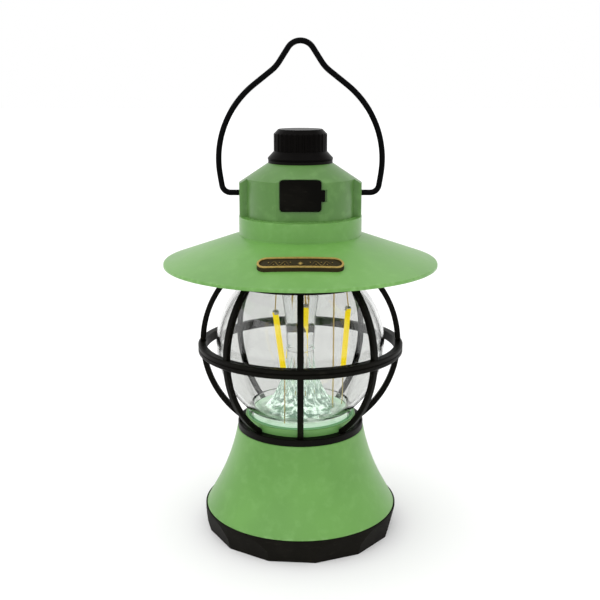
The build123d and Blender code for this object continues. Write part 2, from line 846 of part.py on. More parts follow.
with BuildPart() as neck_cavity:
    add(
        revolved([
            (0, ledge_level),
            (cavity_radius, ledge_level),
            (cavity_radius, crown_surface(cavity_radius) - inner_crown_drop),
            (cavity_top_radius, crown_underside),
            (0, crown_underside),
        ]).part
    )
    with BuildSketch(Plane.XY.offset(ledge_level)):
        with Locations((0, pad_inside - 10)):
            Rectangle(2 * neck_radius, 20)
    extrude(amount=neck_height, mode=Mode.SUBTRACT)

anchor_width = 1.2
anchor_height = 10.0
anchor_depth = 1.5

with BuildPart() as neck_housing:
    with BuildSketch(Plane.XY.offset(ledge_level)):
        RectangleRounded(2 * ear_reach, ear_width, 2.5)
        Circle(neck_radius)
    extrude(amount=neck_height)
    add(neck_envelope.part, mode=Mode.INTERSECT)
    with BuildSketch(Plane.XY.offset(ledge_level)):
        with Locations((0, -port_face - 10)):
            Rectangle(2 * neck_radius, 20)
    extrude(amount=neck_height, mode=Mode.SUBTRACT)
    add(neck_cavity.part, mode=Mode.SUBTRACT)
    add(pillars(neck_screw_points, boss_radius, ledge_level, board_level).part)
    add(pillars(neck_screw_points, pilot_radius, ledge_level, board_level).part, mode=Mode.SUBTRACT)
    add(pillars([(0, 0)], bushing_radius + fit_gap, crown_underside, crown_level).part, mode=Mode.SUBTRACT)
    with BuildSketch(Plane.YZ):
        with Locations((0, pivot_level)):
            Circle(bail_wire_radius + running_gap)
    extrude(amount=ear_reach + 1, both=True, mode=Mode.SUBTRACT)
    # recess for the cover, with room for its finger tab
    with BuildSketch(Plane.XZ.offset(port_face)):
        with Locations((0, cover_middle)):
            RectangleRounded(cover_width + 2 * moving_gap, cover_height + 2 * moving_gap, cover_corner)
        with Locations((cover_width / 2 + tab_width / 2, cover_middle)):
            Rectangle(tab_width + 2, tab_height + 2 * moving_gap)
    extrude(amount=-cover_recess, mode=Mode.SUBTRACT)
    # windows for the two sockets, and the pocket for the cover's anchor
    with BuildSketch(Plane.XZ.offset(port_face)):
        with Locations((0, usb_a_middle)):
            Rectangle(usb_a_width + 2 * fit_gap, usb_a_height + 2 * fit_gap)
        with Locations((0, usb_c_middle)):
            SlotOverall(usb_c_width + 2 * fit_gap, usb_c_height + 2 * fit_gap)
    extrude(amount=-port_pad_thickness, mode=Mode.SUBTRACT)
    with BuildSketch(Plane.XZ.offset(-recess_floor)):
        with Locations((hinge_x, cover_middle)):
            Rectangle(anchor_width + 0.1, anchor_height + 0.1)
    extrude(amount=-anchor_depth, mode=Mode.SUBTRACT)
    with BuildSketch(Plane.XZ.offset(-recess_floor)):
        with Locations((hinge_x, cover_middle + 3), (hinge_x, cover_middle - 3)):
            Circle(0.45)
    extrude(amount=-port_pad_thickness, mode=Mode.SUBTRACT)

neck_screws = screws(neck_screw_points, top_plate_underside, plate_thickness + 5.5)

# ---------------------------------------------------------------------------------------------------------
# Port cover
# ---------------------------------------------------------------------------------------------------------
with BuildPart() as port_cover:
    with BuildSketch(Plane.XZ.offset(-cover_back)):
        with Locations((0, cover_middle)):
            RectangleRounded(cover_width, cover_height, cover_corner)
        with Locations((cover_width / 2 + tab_width / 2 - 0.5, cover_middle)):
            RectangleRounded(tab_width + 1, tab_height, 0.6)
    extrude(amount=cover_thickness)
    # the hinge edge is rolled, so that it turns in place
    with BuildSketch(Plane.XY.offset(cover_middle - cover_height / 2)):
        with Locations((hinge_x - hinge_radius / 2, hinge_y)):
            Rectangle(hinge_radius, cover_thickness)
        with Locations((hinge_x, hinge_y)):
            Circle(hinge_radius, mode=Mode.SUBTRACT)
    extrude(amount=cover_height, mode=Mode.SUBTRACT)

with BuildPart() as port_cover_anchor:
    with BuildSketch(Plane.XZ.offset(-recess_floor)):
        with Locations((hinge_x, cover_middle)):
            Rectangle(anchor_width, anchor_height)
    extrude(amount=-anchor_depth)
    with BuildSketch(Plane.XZ.offset(-recess_floor - anchor_depth)):
        with Locations((hinge_x, cover_middle + 3), (hinge_x, cover_middle - 3)):
            Circle(0.4)
    extrude(amount=-(port_pad_thickness - cover_recess - anchor_depth))

# ---------------------------------------------------------------------------------------------------------
# Control board, sockets and dimmer
# ---------------------------------------------------------------------------------------------------------
socket_front = pad_inside - 1.3

with BuildPart() as control_board:
    with BuildSketch(Plane.XY.offset(board_level)):
        Circle(cavity_radius - 0.7)
        with Locations((0, pad_inside + 0.8 - 10)):
            Rectangle(2 * neck_radius, 20, mode=Mode.SUBTRACT)
        with Locations((cavity_radius, 0), (-cavity_radius, 0)):
            Rectangle(8, 10, mode=Mode.SUBTRACT)
        with Locations(*neck_screw_points):
            Circle(screw_hole_radius, mode=Mode.SUBTRACT)
    extrude(amount=board_thickness)

board_screws = screws(neck_screw_points, board_level + board_thickness, -(board_thickness + 4.5))

with BuildPart() as board_parts:
    with BuildSketch(Plane.XY.offset(board_level + board_thickness)):
        with Locations((13, 9)):
            RectangleRounded(7, 7, 1)
    extrude(amount=3.5)
    with BuildSketch(Plane.XY.offset(board_level + board_thickness)):
        with Locations((-13, 10)):
            Circle(2.5)
        with Locations((0, 13)):
            Rectangle(5, 4)
        with Locations((-14, -5)):
            Rectangle(4, 5)
    extrude(amount=1.2)


def socket_shell(width, height, depth, middle, rounded):
    """A thin drawn shell, open at the front, with its closed end inside the neck."""
    with BuildPart() as shell:
        with BuildSketch(Plane.XZ.offset(-socket_front)):
            with Locations((0, middle)):
                if rounded:
                    SlotOverall(width, height)
                else:
                    Rectangle(width, height)
        extrude(amount=-depth)
        with BuildSketch(Plane.XZ.offset(-socket_front)):
            with Locations((0, middle)):
                if rounded:
                    SlotOverall(width - 2 * socket_wall, height - 2 * socket_wall)
                else:
                    Rectangle(width - 2 * socket_wall, height - 2 * socket_wall)
        extrude(amount=-(depth - 0.5), mode=Mode.SUBTRACT)
    return shell


def socket_insert(shell_width, shell_height, depth, middle, tongue_size, tongue_lift, rounded):
    """The moulded insert: a block that fills the shell's back and carries the contact tongue."""
    back_block = 2.0
    with BuildPart() as insert:
        with BuildSketch(Plane.XZ.offset(-socket_front - depth + 0.5)):
            with Locations((0, middle)):
                if rounded:
                    SlotOverall(shell_width - 2 * socket_wall, shell_height - 2 * socket_wall)
                else:
                    Rectangle(shell_width - 2 * socket_wall, shell_height - 2 * socket_wall)
        extrude(amount=back_block)
        with BuildSketch(Plane.XZ.offset(-socket_front - depth + 0.5 + back_block)):
            with Locations((0, middle + tongue_lift)):
                Rectangle(*tongue_size)
        extrude(amount=depth - 0.5 - back_block - 0.8)
    return insert


usb_a_shell = socket_shell(usb_a_width, usb_a_height, usb_a_depth, usb_a_middle, False)
usb_a_insert = socket_insert(usb_a_width, usb_a_height, usb_a_depth, usb_a_middle, (11.0, 1.8), 1.1, False)
usb_c_shell = socket_shell(usb_c_width, usb_c_height, usb_c_depth, usb_c_middle, True)
usb_c_insert = socket_insert(usb_c_width, usb_c_height, usb_c_depth, usb_c_middle, (6.2, 0.7), 0, True)

bushing_top = crown_level + 3.4
shaft_foot = crown_underside - dimmer_height + 1.8
with BuildPart() as dimmer_body:
    with BuildSketch(Plane.XY.offset(crown_underside - dimmer_height)):
        Circle(dimmer_radius)
    extrude(amount=dimmer_height)
    with BuildSketch(Plane.XY.offset(crown_underside)):
        Circle(bushing_radius)
    extrude(amount=bushing_top - crown_underside)
    with BuildSketch(Plane.XY.offset(shaft_foot - moving_gap)):
        Circle(shaft_radius + running_gap)
    extrude(amount=bushing_top - shaft_foot + moving_gap, mode=Mode.SUBTRACT)
    with BuildSketch(Plane.XY.offset(board_level + board_thickness)):
        with Locations((-3, 6), (0, 6), (3, 6)):
            Rectangle(0.8, 0.5)
    extrude(amount=crown_underside - dimmer_height - board_level - board_thickness)

washer_thickness = 0.6
nut_thickness = 2.0
with BuildPart() as dimmer_washer:
    with BuildSketch(Plane.XY.offset(crown_level)):
        Circle(6.5)
        Circle(bushing_radius + fit_gap, mode=Mode.SUBTRACT)
    extrude(amount=washer_thickness)

with BuildPart() as dimmer_nut:
    with BuildSketch(Plane.XY.offset(crown_level + washer_thickness)):
        RegularPolygon(5, 6, major_radius=False)
        Circle(bushing_radius + 0.02, mode=Mode.SUBTRACT)
    extrude(amount=nut_thickness)

with BuildPart() as knob_seat:
    with BuildSketch(Plane.XY.offset(crown_level)):
        Circle(crown_radius)
        Circle(9, mode=Mode.SUBTRACT)
    extrude(amount=seat_thickness)

knob_bottom = crown_level + seat_thickness + moving_gap
knob_top = knob_bottom + knob_height
roof_level = knob_top - knob_roof
hub_bottom = bushing_top + 2 * moving_gap
shaft_top = roof_level - 0.4
flat_offset = shaft_radius / 2

with BuildPart() as dimmer_shaft:
    with BuildSketch(Plane.XY.offset(shaft_foot)):
        Circle(shaft_radius)
    extrude(amount=shaft_top - shaft_foot)
    with BuildSketch(Plane.XY.offset(hub_bottom)):
        with Locations((0, flat_offset + shaft_radius)):
            Rectangle(4 * shaft_radius, 2 * shaft_radius)
    extrude(amount=shaft_top - hub_bottom, mode=Mode.SUBTRACT)

flange_edge = 0.8
flange_rise = 4.1
top_chamfer = 2.4
knob_inside = knob_radius - knob_wall
with BuildPart() as knob:
    add(
        revolved([
            (knob_inside, knob_bottom),
            (knob_flange_radius, knob_bottom),
            (knob_flange_radius, knob_bottom + flange_edge),
            (knob_radius, knob_bottom + flange_rise),
            (knob_radius, knob_top - top_chamfer),
            (knob_radius - top_chamfer, knob_top),
            (0, knob_top),
            (0, roof_level),
            (knob_inside, roof_level),
        ]).part
    )
    with BuildSketch(Plane.XY.offset(hub_bottom)):
        Circle(hub_radius)
    extrude(amount=roof_level - hub_bottom)
    with BuildSketch(Plane.XY.offset(hub_bottom)):
        Circle(shaft_radius + 0.02)
        with Locations((0, flat_offset + 0.02 + shaft_radius)):
            Rectangle(4 * shaft_radius, 2 * shaft_radius, mode=Mode.SUBTRACT)
    extrude(amount=shaft_top + 0.1 - hub_bottom, mode=Mode.SUBTRACT)
    with BuildSketch(Plane.XY.offset(knob_bottom + flange_rise + 0.2)):
        with PolarLocations(knob_radius + flute_radius - flute_depth, knob_flutes):
            Circle(flute_radius)
    extrude(amount=knob_height, mode=Mode.SUBTRACT)

# ---------------------------------------------------------------------------------------------------------
# Bail: one bent wire, with a clip on each end inside the neck
# ---------------------------------------------------------------------------------------------------------
def leaning(angle):
    """Direction of a line that leans outwards by an angle from upright, as (across, up)."""
    return (math.sin(math.radians(angle)), math.cos(math.radians(angle)))


bow_centre = (bail_half_width - bail_bow_radius, pivot_level + bail_bow_above_pivot)
leg_touch = (
    bow_centre[0] + bail_bow_radius * math.cos(math.radians(bail_tuck_in)),
    bow_centre[1] - bail_bow_radius * math.sin(math.radians(bail_tuck_in)),
)
leg_lean = leaning(bail_tuck_in)
corner_across = leg_touch[0] - (leg_touch[1] - pivot_level) * leg_lean[0] / leg_lean[1]
bow_reach = bail_bow_radius * math.tan(math.radians((bail_tuck_in + bail_shoulder_lean) / 2))
bow_corner = (leg_touch[0] + bow_reach * leg_lean[0], leg_touch[1] + bow_reach * leg_lean[1])
peak_corner_height = pivot_level + bail_peak_above_pivot
shoulder_slope = math.tan(math.radians(bail_shoulder_lean))
peak_slope = math.tan(math.radians(bail_peak_lean))
hollow_height = (bow_corner[0] + shoulder_slope * bow_corner[1] - peak_slope * peak_corner_height) / (
    shoulder_slope - peak_slope
)
hollow_corner = (peak_slope * (peak_corner_height - hollow_height), hollow_height)
wire_end = cavity_radius - 2.1

right_corners = [(wire_end, pivot_level), (corner_across, pivot_level), bow_corner, hollow_corner]
left_corners = [(-across, height) for across, height in reversed(right_corners)]
half_radii = [bail_corner_radius, bail_bow_radius, bail_hollow_radius]
with BuildPart() as bail:
    with BuildLine(Plane.XZ) as bail_path:
        FilletPolyline(
            *right_corners,
            (0, peak_corner_height),
            *left_corners,
            radius=[*half_radii, bail_peak_radius, *reversed(half_radii)],
        )
    with BuildSketch(Plane(origin=(wire_end, 0, pivot_level), z_dir=(1, 0, 0))):
        Circle(bail_wire_radius)
    sweep(path=bail_path.line)

with BuildPart() as bail_clips:
    for side in (-1, 1):
        with BuildSketch(Plane.YZ.offset(side * (wire_end + 0.4))):
            with Locations((0, pivot_level)):
                Circle(clip_radius)
                Circle(bail_wire_radius, mode=Mode.SUBTRACT)
        extrude(amount=side * clip_thickness)

# ---------------------------------------------------------------------------------------------------------
# Label and write every piece
# ---------------------------------------------------------------------------------------------------------
pieces = {
    "foot_ring": foot_ring,
    "bottom_cover": bottom_cover,
    "cover_screws": cover_screws,
    "base_housing": base_housing,
    "battery_cells": battery_cells,
    "battery_holder": battery_holder,
    "battery_contacts": battery_contacts,
    "protection_board": protection_board,
    "supply_wires": supply_wires,
    "glow_board": glow_board,
    "glow_leds": glow_leds,
    "diffuser_disc": diffuser_disc,
    "globe_tray": globe_tray,
    "tray_screws": tray_screws,
    "cage_base_ring": cage_base_ring,
    "cage_lower_ribs": cage_lower_ribs,
    "waist_band_lower": waist_band_lower,
    "waist_band_upper": waist_band_upper,
    "cage_upper_ribs": cage_upper_ribs,
    "cage_top_ring": cage_top_ring,
    "globe": globe,
    "globe_gasket_lower": globe_gasket_lower,
    "globe_gasket_upper": globe_gasket_upper,
    "light_guide": light_guide,
    "filaments": filaments,
    "filament_leads": filament_leads,
    "reflector_cup": reflector_cup,
    "ring_screws": ring_screws,
    "hat_collar": hat_collar,
    "hat_screws": hat_screws,
    "shade": shade,
    "nameplate": nameplate,
    "nameplate_pins": nameplate_pins,
    "neck_housing": neck_housing,
    "neck_screws": neck_screws,
    "port_cover": port_cover,
    "port_cover_anchor": port_cover_anchor,
    "control_board": control_board,
    "board_screws": board_screws,
    "board_parts": board_parts,
    "usb_a_shell": usb_a_shell,
    "usb_a_insert": usb_a_insert,
    "usb_c_shell": usb_c_shell,
    "usb_c_insert": usb_c_insert,
    "dimmer_body": dimmer_body,
    "dimmer_washer": dimmer_washer,
    "dimmer_nut": dimmer_nut,
    "dimmer_shaft": dimmer_shaft,
    "knob_seat": knob_seat,
    "knob": knob,
    "bail": bail,
    "bail_clips": bail_clips,
}
for name, piece in pieces.items():
    piece.part.label = name
    export_step(piece.part, f"parts/{name}.step")
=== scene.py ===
# %% [markdown]
# # A rechargeable camping lantern, finished in Blender
#
# The lantern's solids come from CAD: foot, base, cage, globe, hat, neck, knob and bail. This lesson gives each of
# them its real finish, adds the fine pieces that CAD leaves plain, and sets up the studio. Lengths are in metres,
# the floor is at height 0, the front looks towards -Y, and every piece already lies in its place.

# %% Load the frame
import math

import bpy
import numpy as np
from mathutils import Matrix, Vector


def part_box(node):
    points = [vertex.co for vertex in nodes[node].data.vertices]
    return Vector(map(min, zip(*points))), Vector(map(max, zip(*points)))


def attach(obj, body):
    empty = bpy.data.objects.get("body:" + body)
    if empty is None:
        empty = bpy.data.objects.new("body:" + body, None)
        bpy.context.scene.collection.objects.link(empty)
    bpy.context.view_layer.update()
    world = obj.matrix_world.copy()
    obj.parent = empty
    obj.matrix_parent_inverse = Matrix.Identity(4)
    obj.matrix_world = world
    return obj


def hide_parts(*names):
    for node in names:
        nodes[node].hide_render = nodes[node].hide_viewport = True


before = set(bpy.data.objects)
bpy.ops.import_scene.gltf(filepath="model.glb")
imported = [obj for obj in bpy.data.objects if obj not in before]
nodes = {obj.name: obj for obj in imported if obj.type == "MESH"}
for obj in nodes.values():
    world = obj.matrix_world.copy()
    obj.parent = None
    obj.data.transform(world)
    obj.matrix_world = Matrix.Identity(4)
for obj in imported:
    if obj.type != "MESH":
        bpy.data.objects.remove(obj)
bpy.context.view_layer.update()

# %% [markdown]
# ## Places that several cells need
#
# Most are read from a solid's own box, so that a finish or a small piece follows the solid when it changes size. The
# hat's slope and the height of its rim face are given as numbers.

# %% Places read from the solids
MM = 0.001
AXIS_X, AXIS_Y, AXIS_Z = 0, 1, 2
tray_low, tray_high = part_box("globe_tray")
shade_low, shade_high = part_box("shade")
guide_low, guide_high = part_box("light_guide")
shade_radius = shade_high[AXIS_X]
hat_slope = math.radians(19.4)
rim_face = 1.5 * MM
print("tray rim", round(tray_high[AXIS_Z], 4), "shade radius", round(shade_radius, 4))

# %% [markdown]
# ## The studio
#
# A product like this is photographed on a white sweep under a large overhead diffuser. One wide pale floor and a
# white world give the even light, and upright walls come out darker than the sloping hat because half of what they
# see is the hat itself. The world alone would leave the slopes flat, so one very wide sun stands in for the
# diffuser, a little to the front and left. Lamps near the lantern would light its front more than its top.

# %% Floor
FLOOR_REACH = 6
corners = [(x * FLOOR_REACH, y * FLOOR_REACH, 0) for x, y in ((-1, -1), (1, -1), (1, 1), (-1, 1))]
floor_mesh = bpy.data.meshes.new("studio_floor")
floor_mesh.from_pydata(corners, [], [(0, 1, 2, 3)])
studio_floor = bpy.data.objects.new("studio_floor", floor_mesh)
bpy.context.scene.collection.objects.link(studio_floor)
print("floor", [round(v) for v in studio_floor.dimensions])

# %% World, lights and view
world = bpy.data.worlds.new("studio_world")
world.use_nodes = True
world.node_tree.nodes["Background"].inputs["Color"].default_value = (1.0, 1.0, 1.0, 1.0)
world.node_tree.nodes["Background"].inputs["Strength"].default_value = 1.0
bpy.context.scene.world = world
bpy.context.scene.view_settings.view_transform = "Standard"


def overhead_diffuser(name, towards_back, towards_right, power, width):
    """A sun as wide as a ceiling diffuser; the first two angles lean it to the front and to the left."""
    lamp = bpy.data.lights.new(name, "SUN")
    lamp.energy = power
    lamp.angle = math.radians(width)
    light = bpy.data.objects.new(name, lamp)
    light.location = (0.0, 0.0, 1.5)
    light.rotation_euler = (math.radians(towards_back), -math.radians(towards_right), 0.0)
    bpy.context.scene.collection.objects.link(light)
    return light


overhead_diffuser("overhead_diffuser", 14, 16, 1.1, 95)

# %% [markdown]
# ## The camera
#
# The lantern is seen from half a metre, a little above the hat. The lens is that of a short portrait lens, which
# keeps the wide hat from bulging. The tilt is given as a number, because an aim constraint would be one more thing to
# undo if the camera is turned.

# %% Camera
CAMERA_DISTANCE = 0.500
CAMERA_HEIGHT = 0.2479
CAMERA_TILT = 13.49  # degrees below level
camera_data = bpy.data.cameras.new("camera")
camera_data.sensor_width = 36.0
camera_data.lens = 57.3
camera_data.shift_x = -0.0007
camera_data.clip_start = 0.01
camera = bpy.data.objects.new("camera", camera_data)
camera.location = (0.0, -CAMERA_DISTANCE, CAMERA_HEIGHT)
camera.rotation_euler = (math.radians(90 - CAMERA_TILT), 0.0, 0.0)
bpy.context.scene.collection.objects.link(camera)
bpy.context.scene.camera = camera
print("camera", [round(v, 3) for v in camera.location])

# %% [markdown]
# ## Shader maths as plain expressions
#
# A finish is a short calculation: a speck of dust is noise above a limit, a worn edge is a band of radius times
# noise. Written with node calls this fills pages. The class below wraps one output socket, so that `0.5 - mask * 0.2`
# adds the Math nodes by itself. Colours go through Mix, because a Math node would turn them grey.

# %% Wire and Finish
class Wire:
    """One output socket. Arithmetic on it adds Math nodes to its finish."""

    def __init__(self, finish, socket):
        self.finish = finish
        self.socket = socket

    def maths(self, operation, *values):
        """A Math node of that operation on the values, in order."""
        return self.finish.node("ShaderNodeMath", {"operation": operation}, dict(enumerate(values)))

    def __add__(self, other):
        return self.maths("ADD", self, other)

    def __sub__(self, other):
        return self.maths("SUBTRACT", self, other)

    def __rsub__(self, other):
        return self.maths("SUBTRACT", other, self)

    def __mul__(self, other):
        return self.maths("MULTIPLY", self, other)

    def __pow__(self, other):
        return self.maths("POWER", self, other)

    __radd__ = __add__
    __rmul__ = __mul__

    def sine(self):
        """Sine of the value, in radians."""
        return self.maths("SINE", self)

    def ramp(self, start, end):
        """0 below start, 1 above end, and smooth between; start may be the larger."""
        return self.finish.node(
            "ShaderNodeMapRange",
            {"interpolation_type": "SMOOTHSTEP"},
            {"Value": self, "From Min": start, "From Max": end},
        )


class Finish:
    """A material, with the methods that its recipe is written in."""

    def __init__(self, name):
        self.material = bpy.data.materials.new(name)
        self.material.use_nodes = True
        self.tree = self.material.node_tree
        self.shader = self.tree.nodes["Principled BSDF"]
        self.place = self.node("ShaderNodeTexCoord", output="Object")

    def node(self, kind, settings=None, values=None, output=0):
        """A node of a kind: its settings are set first, then its sockets get values or wires."""
        made = self.tree.nodes.new(kind)
        for key, value in (settings or {}).items():
            setattr(made, key, value)
        for key, value in (values or {}).items():
            if isinstance(value, Wire):
                self.tree.links.new(value.socket, made.inputs[key])
            else:
                made.inputs[key].default_value = value
        return Wire(self, made.outputs[output])

    def noise(self, size, detail=2.0, stretch=(1, 1, 1)):
        """Soft noise, 0 to 1, whose features are about that size in metres."""
        scaled = self.node("ShaderNodeMapping", None, {"Vector": self.place, "Scale": stretch})
        return self.node(
            "ShaderNodeTexNoise", None, {"Vector": scaled, "Scale": 1 / size, "Detail": detail, "Roughness": 0.55}
        )

    def along(self, axis):
        """The place along one axis, in metres."""
        return self.node("ShaderNodeSeparateXYZ", None, {0: self.place}, axis)

    def radius(self):
        """Distance from the lantern's upright axis, in metres."""
        return (self.along(AXIS_X) ** 2 + self.along(AXIS_Y) ** 2) ** 0.5

    def tint(self, share, first, second):
        """A colour between two: first where share is 0, second where it is 1."""
        return self.node("ShaderNodeMix", {"data_type": "RGBA"}, {0: share, 6: first, 7: second}, 2)

    def relief(self, height, depth):
        """Small relief of that depth in metres, as a Bump node on the shader's Normal."""
        bump = self.node("ShaderNodeBump", None, {"Strength": 1.0, "Distance": depth, "Height": height}, "Normal")
        self.tree.links.new(bump.socket, self.shader.inputs["Normal"])

    def coat(self, **sockets):
        """Sets the shader's sockets, named with underscores, to values or wires."""
        for key, value in sockets.items():
            socket = self.shader.inputs[key.replace("_", " ").title().replace("Ior", "IOR")]
            if isinstance(value, Wire):
                self.tree.links.new(value.socket, socket)
            else:
                socket.default_value = value


def dress(finish, *names):
    """Gives CAD nodes a finish in place of the plain one that they came with."""
    for name in names:
        slots = nodes[name].data.materials
        for index in range(len(slots)):
            slots[index] = finish.material
    print(finish.material.name, "on", len(names), "solids")


def rgb(red, green, blue):
    """A linear colour with full alpha."""
    return (red, green, blue, 1.0)


floor_finish = Finish("studio_floor")
floor_finish.coat(base_color=rgb(0.93, 0.93, 0.93), roughness=0.8, specular_ior_level=0.1)
studio_floor.data.materials.append(floor_finish.material)

# %% [markdown]
# ## Leaf-green paint
#
# The hat, neck and base are stamped shells with one thick coat of semi-gloss paint. Sprayed paint isn't flat: it
# dries with an orange peel about a millimetre across, its tone drifts by a few percent where the coat is thicker,
# dust sinks into it, and hands polish the rims. A flat green with low roughness would look like moulded plastic, so
# each of these is its own layer of noise, and the rubbed rims are found from the radius and the height.

# %% Paint recipe
LEAF_GREEN = rgb(0.135, 0.325, 0.068)
LEAF_SHADE = rgb(0.113, 0.282, 0.056)
LEAF_RUBBED = rgb(0.225, 0.440, 0.140)


def paint(name, depth=1.0):
    """Green paint: drifting tone, sunk dust, rubbed rims, orange peel. A depth below 1 darkens the whole green:
    painted shade.
    """
    finish = Finish(name)
    shade, green = [rgb(*(value * depth for value in tone[:3])) for tone in (LEAF_SHADE, LEAF_GREEN)]
    drift = finish.noise(45 * MM, 2.0)
    mottle = finish.noise(6 * MM, 3.0)
    dust = finish.noise(0.7 * MM, 1.0).ramp(0.70, 0.78)
    radius = finish.radius()
    height = finish.along(AXIS_Z)
    rim = radius.ramp(shade_radius - 1.2 * MM, shade_radius - 0.2 * MM)
    base_foot = height.ramp(14.6 * MM, 13.4 * MM)
    ledge = height.ramp(shade_high[AXIS_Z] - 1.4 * MM, shade_high[AXIS_Z] - 0.3 * MM)
    ledge = ledge * height.ramp(shade_high[AXIS_Z] + 0.6 * MM, shade_high[AXIS_Z] + 0.1 * MM)
    rubbed = (rim + base_foot + ledge * 0.6) * finish.noise(3 * MM, 3.0).ramp(0.42, 0.70)
    tone = finish.tint(drift.ramp(0.30, 0.70), shade, green)
    tone = finish.tint(mottle.ramp(0.45, 0.75) * 0.18, tone, LEAF_RUBBED)
    tone = finish.tint(dust * 0.35, tone, shade)
    tone = finish.tint(rubbed * 0.45, tone, LEAF_RUBBED)
    peel = finish.noise(1.1 * MM, 1.0) + finish.noise(4 * MM, 2.0) * 0.6 - dust * 0.8
    finish.relief(peel, 0.018 * MM)
    finish.coat(
        base_color=tone,
        roughness=0.30 + mottle * 0.14 + dust * 0.2 - rubbed * 0.06,
        coat_weight=0.06,
        coat_roughness=0.18,
        specular_ior_level=0.36,
    )
    return finish


dress(paint("painted_green"), "base_housing", "shade")
# The neck and the collar under the brim get the green darkened to 0.64: painted shade for the shade they stand in
# under the hat.
dress(paint("painted_green_shaded", 0.64), "neck_housing", "hat_collar")

# %% [markdown]
# ## The lit tray
#
# The tray under the globe is painted the same green, but the white lights beneath the frosted disc shine on it, so
# its inside and its rim are pale mint. Real light would have to find its way out through the disc and the globe,
# which takes thousands of samples. A faint emission that fades with the radius gives the same look in any pose.

# %% Tray finish
tray_paint = paint("painted_green_lit")
inside = tray_paint.radius().ramp(tray_high[AXIS_X] - 0.2 * MM, tray_high[AXIS_X] - 2.2 * MM)
near_light = inside * tray_paint.along(AXIS_Z).ramp(tray_low[AXIS_Z] + 2 * MM, tray_high[AXIS_Z])
glow = tray_paint.tint(0.10 + near_light * 0.9, rgb(0.0, 0.0, 0.0), rgb(0.42, 0.95, 0.50))
tray_paint.coat(emission_color=glow, emission_strength=0.38)
dress(tray_paint, "globe_tray")

# %% [markdown]
# ## Black mouldings
#
# The cage, the foot and the knob are moulded black plastic with a spark-eroded grain. Black this deep shows only
# its reflections, so the work is in roughness and relief: a fine grain for the cage, a coarser one with scuffs for
# the rubber foot, and a smoother skin for the knob. The tone is a warm near-black, because pure black has no shape.

# %% Black recipes
def moulded_black(name, tone, worn_and_floor_lit, grain, depth, roughness, scuffs, sheen=0.05):
    """Grained black: the grain is noise of one size, and scuffs are stretched noise above a limit. Below 45 mm the
    tone turns lighter towards the floor: painted light from the white floor."""
    finish = Finish(name)
    skin = finish.noise(grain, 2.0)
    cloud = finish.noise(12 * MM, 2.0)
    scuff = finish.noise(2.5 * MM, 4.0, (0.35, 1.0, 1.6)).ramp(0.60, 0.72) * scuffs
    # Painted light: the black turns lighter below 45 mm, as if lit by the white floor.
    painted_floor_light = finish.along(AXIS_Z).ramp(45 * MM, 5 * MM)
    finish.relief(skin + cloud * 0.4, depth)
    finish.coat(
        base_color=finish.tint(scuff + cloud.ramp(0.4, 0.8) * 0.15 + painted_floor_light * 0.28, tone, worn_and_floor_lit),
        roughness=roughness + skin * 0.10 + scuff * 0.15,
        specular_ior_level=sheen,
    )
    return finish


cage_black = moulded_black(
    "black_shell", rgb(0.0030, 0.0028, 0.0018), rgb(0.014, 0.013, 0.009), 0.45 * MM, 0.008 * MM, 0.36, 0.5
)
foot_black = moulded_black(
    "black_rubber", rgb(0.0018, 0.0016, 0.0010), rgb(0.020, 0.018, 0.014), 0.8 * MM, 0.030 * MM, 0.50, 0.3, 0.04
)
knob_black = moulded_black(
    "black_gloss", rgb(0.0016, 0.0012, 0.0010), rgb(0.008, 0.007, 0.006), 0.30 * MM, 0.004 * MM, 0.26, 0.3, 0.03
)
wire_black = moulded_black(
    "black_wire", rgb(0.0014, 0.0014, 0.0016), rgb(0.010, 0.010, 0.011), 0.50 * MM, 0.012 * MM, 0.34, 0.4, 0.03
)
dress(
    cage_black,
    *("cage_base_ring", "cage_lower_ribs", "waist_band_lower", "waist_band_upper", "cage_upper_ribs"),
    *("cage_top_ring", "bottom_cover", "battery_holder", "knob_seat"),
)
dress(foot_black, "foot_ring", "port_cover", "port_cover_anchor")
dress(knob_black, "knob")
dress(wire_black, "bail")

# %% [markdown]
# ## The clear globe
#
# The globe is a blown clear ball, slightly smoked, with a wall of two millimetres. Its edges are pale and its middle
# grey because the light crosses four surfaces. Real refraction on the double wall gives this by itself, so the
# recipe is a tinted transmission with the slow ripple of a blown wall and a few wiped smears in the roughness.

# %% Globe and gasket finish
globe_clear = Finish("clear_globe")
smear = globe_clear.noise(14 * MM, 4.0, (1.0, 1.0, 0.4)).ramp(0.52, 0.75)
ripple = globe_clear.noise(18 * MM, 1.0)
globe_clear.relief(ripple, 0.06 * MM)
globe_clear.coat(
    base_color=globe_clear.tint(smear, rgb(0.745, 0.752, 0.738), rgb(0.765, 0.770, 0.758)),
    roughness=0.002 + smear * 0.03,
    transmission_weight=1.0,
    ior=1.46,
    specular_ior_level=0.5,
)
dress(globe_clear, "globe")

gasket_silicone = Finish("gasket_rubber")
gasket_silicone.relief(gasket_silicone.noise(1.5 * MM), 0.02 * MM)
gasket_silicone.coat(
    base_color=gasket_silicone.tint(gasket_silicone.noise(5 * MM), rgb(0.62, 0.64, 0.63), rgb(0.74, 0.76, 0.75)),
    roughness=0.45 + gasket_silicone.noise(2 * MM) * 0.15,
)
dress(gasket_silicone, "globe_gasket_lower", "globe_gasket_upper")

# %% [markdown]
# ## The light engine
#
# Under the globe lies a white board with warm chips beneath a frosted disc, and a white cup closes the globe above.
# Three filaments stand between them: a thin strip of chips under a thick coat of yellow phosphor. The coat is what
# is seen, even when the lantern is off, so its colour is in the base and not only in the glow. A fine ripple along
# the height marks the chips. The disc is brightest near its edge: the chips below it stand apart, so the part under
# the guide is lit in patches, which the pleats draw out into streaks.

